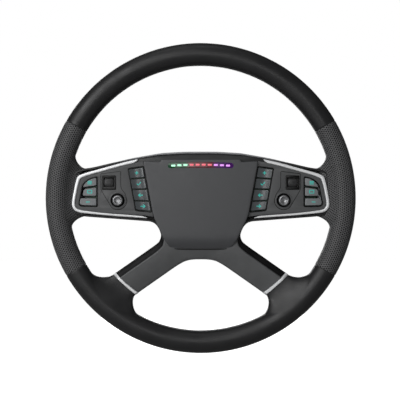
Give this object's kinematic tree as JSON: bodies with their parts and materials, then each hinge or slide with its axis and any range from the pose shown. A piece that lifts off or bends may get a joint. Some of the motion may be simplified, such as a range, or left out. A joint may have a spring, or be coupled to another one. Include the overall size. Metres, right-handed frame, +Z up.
{
  "type": "racing wheel",
  "caption": "Truck-style sim racing wheel with leather rim, four spokes, push-button panels, thumb rollers, thumb sticks and quick-release socket.",
  "frame": {"origin": "centre of the quick-release socket's mouth, on the wheel's axis", "axes": "+Y along the wheel's axis out of the socket's mouth, away from the driver; +Z up with the wheel straight ahead; +X to the driver's right"},
  "size_m": [0.4, 0.0988, 0.4],
  "materials": {
    "leather_smooth": "smooth wrap with fine grain",
    "leather_perforated": "perforated wrap",
    "foam": "moulded polyurethane foam",
    "armature_metal": "die cast",
    "housing_plastic": "moulded, fine texture",
    "pad_soft": "soft-touch, fine grain",
    "panel_plastic": "soft-touch satin",
    "cover_plastic": "moulded satin",
    "bright_trim": "satin plated",
    "smoked_lens": "smoked, polished",
    "led_green": "lit diffuser",
    "led_red": "lit diffuser",
    "led_violet": "lit diffuser",
    "circuit_board": "solder mask",
    "button_cap": "satin caps with a printed sign",
    "roller_rubber": "ribbed",
    "encoder_plastic": "moulded",
    "stick_plastic": "moulded",
    "stick_grip": "dished, soft",
    "gimbal_metal": "stamped",
    "socket_metal": "turned, clear anodised",
    "collar_metal": "turned, black anodised",
    "spring_steel": "drawn wire",
    "ball_steel": "ground",
    "contact_plastic": "moulded with plated pins",
    "screw_steel": "black oxide"
  },
  "bodies": {
    "wheel": {"armature": "armature_metal", "rim_foam": "foam", "leather_top": "leather_smooth", "leather_bottom": "leather_smooth", "leather_left": "leather_perforated", "leather_right": "leather_perforated", "rear_housing": "housing_plastic", "hub_pad": "pad_soft", "rev_light_window": "smoked_lens", "rev_lights_green": "led_green", "rev_lights_red": "led_red", "rev_lights_violet": "led_violet", "rev_light_board": "circuit_board", "lower_cover_front": "cover_plastic", "lower_cover_back": "housing_plastic", "main_board": "circuit_board", "socket_body": "socket_metal", "collar_spring": "spring_steel", "retaining_ring": "spring_steel", "contact_block": "contact_plastic", "socket_bolts": "screw_steel", "small_screws": "screw_steel", "button_panel_left": "panel_plastic", "trim_left": "bright_trim", "spoke_trim_left": "bright_trim", "switch_board_left": "circuit_board", "roller_encoder_left": "encoder_plastic", "stick_base_left": "encoder_plastic", "button_panel_right": "panel_plastic", "trim_right": "bright_trim", "spoke_trim_right": "bright_trim", "switch_board_right": "circuit_board", "roller_encoder_right": "encoder_plastic", "stick_base_right": "encoder_plastic"},
    "button_left_outer_1": {"button_left_outer_1": "button_cap"},
    "button_left_outer_2": {"button_left_outer_2": "button_cap"},
    "button_left_outer_3": {"button_left_outer_3": "button_cap"},
    "button_left_inner_1": {"button_left_inner_1": "button_cap"},
    "button_left_inner_2": {"button_left_inner_2": "button_cap"},
    "button_left_inner_3": {"button_left_inner_3": "button_cap"},
    "button_left_inner_4": {"button_left_inner_4": "button_cap"},
    "roller_left": {"roller_left": "roller_rubber"},
    "stick_gimbal_left": {"stick_gimbal_left": "gimbal_metal"},
    "stick_lever_left": {"stick_lever_left": "stick_plastic"},
    "stick_cap_left": {"stick_cap_left": "stick_grip"},
    "button_right_outer_1": {"button_right_outer_1": "button_cap"},
    "button_right_outer_2": {"button_right_outer_2": "button_cap"},
    "button_right_outer_3": {"button_right_outer_3": "button_cap"},
    "button_right_inner_1": {"button_right_inner_1": "button_cap"},
    "button_right_inner_2": {"button_right_inner_2": "button_cap"},
    "button_right_inner_3": {"button_right_inner_3": "button_cap"},
    "button_right_inner_4": {"button_right_inner_4": "button_cap"},
    "roller_right": {"roller_right": "roller_rubber"},
    "stick_gimbal_right": {"stick_gimbal_right": "gimbal_metal"},
    "stick_lever_right": {"stick_lever_right": "stick_plastic"},
    "stick_cap_right": {"stick_cap_right": "stick_grip"},
    "release_collar": {"release_collar": "collar_metal"},
    "lock_ball_1": {"lock_ball_1": "ball_steel"},
    "lock_ball_2": {"lock_ball_2": "ball_steel"},
    "lock_ball_3": {"lock_ball_3": "ball_steel"}
  },
  "joints": [
    {"name": "button_left_outer_1_press", "type": "slide", "parent": "wheel", "child": "button_left_outer_1", "axis": [0, 1, 0], "range_m": [0, 0.0012], "stiffness_N_per_m": 600, "springref_m": -0.0006},
    {"name": "button_left_outer_2_press", "type": "slide", "parent": "wheel", "child": "button_left_outer_2", "axis": [0, 1, 0], "range_m": [0, 0.0012], "stiffness_N_per_m": 600, "springref_m": -0.0006},
    {"name": "button_left_outer_3_press", "type": "slide", "parent": "wheel", "child": "button_left_outer_3", "axis": [0, 1, 0], "range_m": [0, 0.0012], "stiffness_N_per_m": 600, "springref_m": -0.0006},
    {"name": "button_left_inner_1_press", "type": "slide", "parent": "wheel", "child": "button_left_inner_1", "axis": [0, 1, 0], "range_m": [0, 0.0012], "stiffness_N_per_m": 600, "springref_m": -0.0006},
    {"name": "button_left_inner_2_press", "type": "slide", "parent": "wheel", "child": "button_left_inner_2", "axis": [0, 1, 0], "range_m": [0, 0.0012], "stiffness_N_per_m": 600, "springref_m": -0.0006},
    {"name": "button_left_inner_3_press", "type": "slide", "parent": "wheel", "child": "button_left_inner_3", "axis": [0, 1, 0], "range_m": [0, 0.0012], "stiffness_N_per_m": 600, "springref_m": -0.0006},
    {"name": "button_left_inner_4_press", "type": "slide", "parent": "wheel", "child": "button_left_inner_4", "axis": [0, 1, 0], "range_m": [0, 0.0012], "stiffness_N_per_m": 600, "springref_m": -0.0006},
    {"name": "roller_left_turn", "type": "hinge", "parent": "wheel", "child": "roller_left", "pos_m": [-0.1183, -0.08, 0.02], "axis": [1, 0, 0], "continuous": true},
    {"name": "stick_left_up_down", "type": "hinge", "parent": "wheel", "child": "stick_gimbal_left", "pos_m": [-0.107, -0.0785, -0.003], "axis": [1, 0, 0], "range_deg": [-8, 8], "stiffness_Nm_per_rad": 0.05},
    {"name": "stick_left_left_right", "type": "hinge", "parent": "stick_gimbal_left", "child": "stick_lever_left", "pos_m": [-0.107, -0.0785, -0.003], "axis": [0, 0, 1], "range_deg": [-8, 8], "stiffness_Nm_per_rad": 0.05},
    {"name": "stick_left_press", "type": "slide", "parent": "stick_lever_left", "child": "stick_cap_left", "axis": [0, 1, 0], "range_m": [0, 0.0006], "stiffness_N_per_m": 600, "springref_m": -0.0006},
    {"name": "button_right_outer_1_press", "type": "slide", "parent": "wheel", "child": "button_right_outer_1", "axis": [0, 1, 0], "range_m": [0, 0.0012], "stiffness_N_per_m": 600, "springref_m": -0.0006},
    {"name": "button_right_outer_2_press", "type": "slide", "parent": "wheel", "child": "button_right_outer_2", "axis": [0, 1, 0], "range_m": [0, 0.0012], "stiffness_N_per_m": 600, "springref_m": -0.0006},
    {"name": "button_right_outer_3_press", "type": "slide", "parent": "wheel", "child": "button_right_outer_3", "axis": [0, 1, 0], "range_m": [0, 0.0012], "stiffness_N_per_m": 600, "springref_m": -0.0006},
    {"name": "button_right_inner_1_press", "type": "slide", "parent": "wheel", "child": "button_right_inner_1", "axis": [0, 1, 0], "range_m": [0, 0.0012], "stiffness_N_per_m": 600, "springref_m": -0.0006},
    {"name": "button_right_inner_2_press", "type": "slide", "parent": "wheel", "child": "button_right_inner_2", "axis": [0, 1, 0], "range_m": [0, 0.0012], "stiffness_N_per_m": 600, "springref_m": -0.0006},
    {"name": "button_right_inner_3_press", "type": "slide", "parent": "wheel", "child": "button_right_inner_3", "axis": [0, 1, 0], "range_m": [0, 0.0012], "stiffness_N_per_m": 600, "springref_m": -0.0006},
    {"name": "button_right_inner_4_press", "type": "slide", "parent": "wheel", "child": "button_right_inner_4", "axis": [0, 1, 0], "range_m": [0, 0.0012], "stiffness_N_per_m": 600, "springref_m": -0.0006},
    {"name": "roller_right_turn", "type": "hinge", "parent": "wheel", "child": "roller_right", "pos_m": [0.1183, -0.08, 0.02], "axis": [1, 0, 0], "continuous": true},
    {"name": "stick_right_up_down", "type": "hinge", "parent": "wheel", "child": "stick_gimbal_right", "pos_m": [0.107, -0.0785, -0.003], "axis": [1, 0, 0], "range_deg": [-8, 8], "stiffness_Nm_per_rad": 0.05},
    {"name": "stick_right_left_right", "type": "hinge", "parent": "stick_gimbal_right", "child": "stick_lever_right", "pos_m": [0.107, -0.0785, -0.003], "axis": [0, 0, 1], "range_deg": [-8, 8], "stiffness_Nm_per_rad": 0.05},
    {"name": "stick_right_press", "type": "slide", "parent": "stick_lever_right", "child": "stick_cap_right", "axis": [0, 1, 0], "range_m": [0, 0.0006], "stiffness_N_per_m": 600, "springref_m": -0.0006},
    {"name": "collar_release", "type": "slide", "parent": "wheel", "child": "release_collar", "axis": [0, -1, 0], "range_m": [0, 0.006], "stiffness_N_per_m": 2500, "springref_m": -0.006, "deforming": ["collar_spring"]},
    {"name": "lock_ball_1_lift", "type": "slide", "parent": "wheel", "child": "lock_ball_1", "axis": [0, 0, -1], "range_m": [0, 0.0015]},
    {"name": "lock_ball_2_lift", "type": "slide", "parent": "wheel", "child": "lock_ball_2", "axis": [-0.866, 0, 0.5], "range_m": [0, 0.0015]},
    {"name": "lock_ball_3_lift", "type": "slide", "parent": "wheel", "child": "lock_ball_3", "axis": [0.866, 0, 0.5], "range_m": [0, 0.0015]}
  ],
  "couplings": [
    {"joint": "lock_ball_1_lift", "follows": "collar_release", "ratio": 0.25},
    {"joint": "lock_ball_2_lift", "follows": "collar_release", "ratio": 0.25},
    {"joint": "lock_ball_3_lift", "follows": "collar_release", "ratio": 0.25}
  ]
}
